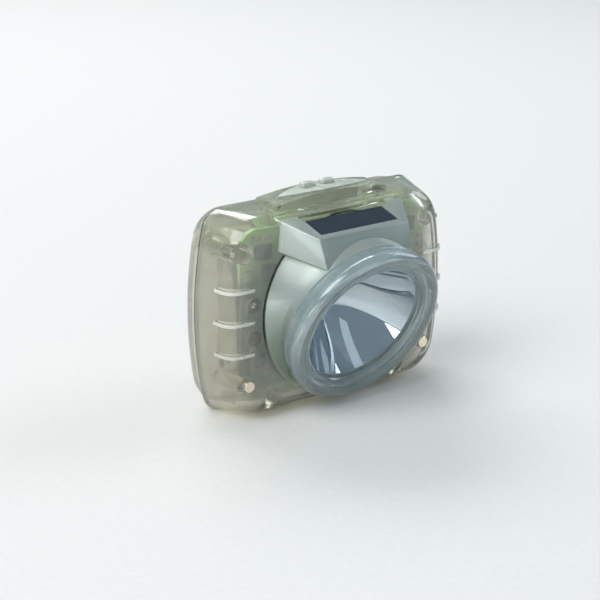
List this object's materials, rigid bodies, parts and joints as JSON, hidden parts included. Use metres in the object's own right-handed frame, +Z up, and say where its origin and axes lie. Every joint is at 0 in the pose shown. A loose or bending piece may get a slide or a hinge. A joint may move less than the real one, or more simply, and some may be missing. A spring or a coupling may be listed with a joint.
{
  "type": "miner's cap lamp",
  "caption": "Cordless miner's cap lamp: clear housing with a tilted round reflector lamp, a display under a sloping hood, sprung keys on top and a steel helmet clip behind.",
  "frame": {"origin": "centre of the lamp's footprint: midway across its width, midway from the bezel's foremost point to the clip's rearmost point, at the level of the housing's lowest edge", "axes": "+X across the lamp to the right of a viewer who faces its front, +Y from the front towards the helmet, +Z up"},
  "size_m": [0.077, 0.049, 0.0613],
  "materials": {
    "clear_housing": "clear moulded polycarbonate, glossy",
    "black_rubber": "moulded black silicone rubber",
    "bezel": "smoke-tinted clear polycarbonate, glossy",
    "lens": "clear polycarbonate lens, polished",
    "reflector": "vacuum-metallised plastic",
    "led": "phosphor under a clear silicone dome",
    "led_board": "white solder mask on an aluminium core board",
    "steel": "bright zinc-plated steel",
    "aluminium": "spun aluminium, satin",
    "display_glass": "dark display glass",
    "display_cell": "liquid crystal cell behind the window",
    "circuit_board": "pale green solder mask",
    "flex_cable": "amber polyimide flexible cable",
    "black_plastic": "black moulding compound",
    "ferrite": "shielded ferrite block",
    "ceramic": "ceramic chip parts with tinned ends",
    "white_plastic": "natural nylon plug",
    "black_steel": "blackened steel",
    "key": "translucent hard silicone",
    "pad": "translucent silicone rubber",
    "stud": "pale gold-plated brass",
    "brass": "turned brass",
    "cell_foil": "laminated aluminium pouch foil",
    "cell_board": "dark green solder mask",
    "foam": "closed-cell foam",
    "wire": "silicone insulated wires, one red and one black",
    "clip_steel": "sprung stainless strip, brushed"
  },
  "bodies": {
    "lamp": {"front_housing": "clear_housing", "rear_housing": "clear_housing", "housing_gasket": "black_rubber", "bezel_ring": "bezel", "lens": "lens", "lens_seal": "pad", "reflector": "reflector", "led_emitter": "led", "led_board": "led_board", "led_board_screws": "steel", "heat_sink": "aluminium", "display_window": "display_glass", "display_module": "display_cell", "display_board": "circuit_board", "display_cable": "flex_cable", "main_board": "circuit_board", "driver_chips": "black_plastic", "power_inductor": "ferrite", "chip_parts": "ceramic", "cell_connector": "white_plastic", "board_screws": "black_steel", "switch_board": "circuit_board", "switch_cans": "steel", "switch_screws": "steel", "key_pad": "pad", "charging_studs": "stud", "stud_seals": "black_rubber", "stud_nuts": "brass", "solder_tags": "brass", "battery_cell": "cell_foil", "cell_board": "cell_board", "cell_foam": "foam", "cell_wires": "wire", "led_wires": "wire", "housing_screws": "steel", "helmet_clip": "clip_steel", "clip_screws": "steel"},
    "lamp_key": {"lamp_key": "key", "lamp_plunger": "black_plastic"},
    "display_key": {"display_key": "key", "display_plunger": "black_plastic"}
  },
  "joints": [
    {"name": "lamp_key_press", "type": "slide", "parent": "lamp", "child": "lamp_key", "axis": [0, 0, -1], "range_m": [0, 0.0005], "stiffness_N_per_m": 2000},
    {"name": "display_key_press", "type": "slide", "parent": "lamp", "child": "display_key", "axis": [0, 0, -1], "range_m": [0, 0.0005], "stiffness_N_per_m": 2000}
  ]
}
